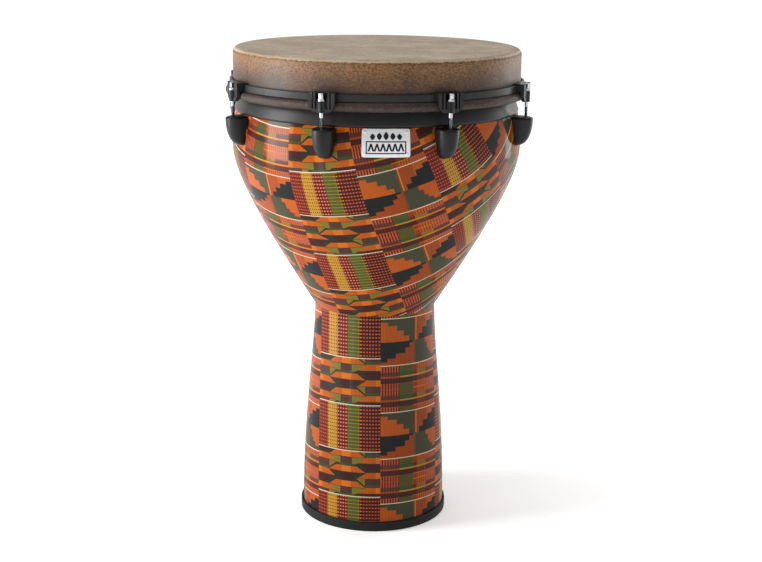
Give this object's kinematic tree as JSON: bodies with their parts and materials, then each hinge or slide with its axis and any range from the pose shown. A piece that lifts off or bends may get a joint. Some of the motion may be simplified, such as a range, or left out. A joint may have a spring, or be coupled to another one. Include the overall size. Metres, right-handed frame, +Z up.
{
  "type": "djembe",
  "caption": "Goblet hand drum with a patterned shell, a collared head, and a hoop pulled down by square-headed tension rods.",
  "frame": {"origin": "centre of the foot ring's underside, on the floor", "axes": "+Z up the drum's axis to the head, -Y towards the front with the badge"},
  "size_m": [0.4314, 0.4314, 0.69],
  "materials": {
    "fibre_shell": "moulded fibre, matt dark inside",
    "printed_film": "woven-cloth pattern printed on film under a clear gloss",
    "black_resin": "satin black moulding",
    "foot_rubber": "matt black rubber",
    "badge_metal": "satin silver plate with a raised pattern",
    "head_skin": "hide-look film, pale and mottled",
    "head_collar": "hide-look film, brown and mottled",
    "hoop_metal": "plain drawn bar",
    "black_hoop": "satin black powder coat on steel",
    "black_casting": "satin black enamel on a zinc casting",
    "black_pod": "satin black enamel on a zinc casting",
    "rod_chrome": "bright chrome",
    "zinc_steel": "zinc-plated steel",
    "nut_brass": "turned brass"
  },
  "bodies": {
    "shell": {"bowl_shell": "fibre_shell", "stem_shell": "fibre_shell", "waist_sleeve": "fibre_shell", "bowl_wrap": "printed_film", "stem_wrap": "printed_film", "rim_ring": "black_resin", "foot_ring": "foot_rubber", "badge_plate": "badge_metal", "badge_rivets": "badge_metal", "head_skin": "head_skin", "lug_pod_1": "black_pod", "lug_pod_2": "black_pod", "lug_pod_3": "black_pod", "lug_pod_4": "black_pod", "lug_pod_5": "black_pod", "lug_pod_6": "black_pod", "lug_pod_7": "black_pod", "lug_pod_8": "black_pod", "lug_nuts": "nut_brass", "pod_screws": "zinc_steel", "pod_screw_washers": "zinc_steel"},
    "head_hoop": {"head_collar": "head_collar", "flesh_hoop": "hoop_metal", "counterhoop": "black_hoop", "rod_washers": "zinc_steel", "claw_1": "black_casting", "claw_2": "black_casting", "claw_3": "black_casting", "claw_4": "black_casting", "claw_5": "black_casting", "claw_6": "black_casting", "claw_7": "black_casting", "claw_8": "black_casting"},
    "rod_1": {"tension_rod_1": "rod_chrome"},
    "rod_2": {"tension_rod_2": "rod_chrome"},
    "rod_3": {"tension_rod_3": "rod_chrome"},
    "rod_4": {"tension_rod_4": "rod_chrome"},
    "rod_5": {"tension_rod_5": "rod_chrome"},
    "rod_6": {"tension_rod_6": "rod_chrome"},
    "rod_7": {"tension_rod_7": "rod_chrome"},
    "rod_8": {"tension_rod_8": "rod_chrome"}
  },
  "joints": [
    {"name": "head_tension", "type": "slide", "parent": "shell", "child": "head_hoop", "axis": [0, 0, 1], "range_m": [-0.004, 0.006], "deforming": ["head_collar"]},
    {"name": "rod_1_turn", "type": "hinge", "parent": "head_hoop", "child": "rod_1", "pos_m": [0.09526, -0.19531, 0.6], "axis": [0, 0, 1], "range_deg": [-1380, 2060]},
    {"name": "rod_2_turn", "type": "hinge", "parent": "head_hoop", "child": "rod_2", "pos_m": [0.20546, -0.07075, 0.6], "axis": [0, 0, 1], "range_deg": [-1380, 2060]},
    {"name": "rod_3_turn", "type": "hinge", "parent": "head_hoop", "child": "rod_3", "pos_m": [0.19531, 0.09526, 0.6], "axis": [0, 0, 1], "range_deg": [-1380, 2060]},
    {"name": "rod_4_turn", "type": "hinge", "parent": "head_hoop", "child": "rod_4", "pos_m": [0.07075, 0.20546, 0.6], "axis": [0, 0, 1], "range_deg": [-1380, 2060]},
    {"name": "rod_5_turn", "type": "hinge", "parent": "head_hoop", "child": "rod_5", "pos_m": [-0.09526, 0.19531, 0.6], "axis": [0, 0, 1], "range_deg": [-1380, 2060]},
    {"name": "rod_6_turn", "type": "hinge", "parent": "head_hoop", "child": "rod_6", "pos_m": [-0.20546, 0.07075, 0.6], "axis": [0, 0, 1], "range_deg": [-1380, 2060]},
    {"name": "rod_7_turn", "type": "hinge", "parent": "head_hoop", "child": "rod_7", "pos_m": [-0.19531, -0.09526, 0.6], "axis": [0, 0, 1], "range_deg": [-1380, 2060]},
    {"name": "rod_8_turn", "type": "hinge", "parent": "head_hoop", "child": "rod_8", "pos_m": [-0.07075, -0.20546, 0.6], "axis": [0, 0, 1], "range_deg": [-1380, 2060]}
  ],
  "couplings": [
    {"joint": "rod_1_turn", "follows": "head_tension", "rad_per_m": 5938.7},
    {"joint": "rod_2_turn", "follows": "head_tension", "rad_per_m": 5938.7},
    {"joint": "rod_3_turn", "follows": "head_tension", "rad_per_m": 5938.7},
    {"joint": "rod_4_turn", "follows": "head_tension", "rad_per_m": 5938.7},
    {"joint": "rod_5_turn", "follows": "head_tension", "rad_per_m": 5938.7},
    {"joint": "rod_6_turn", "follows": "head_tension", "rad_per_m": 5938.7},
    {"joint": "rod_7_turn", "follows": "head_tension", "rad_per_m": 5938.7},
    {"joint": "rod_8_turn", "follows": "head_tension", "rad_per_m": 5938.7}
  ]
}
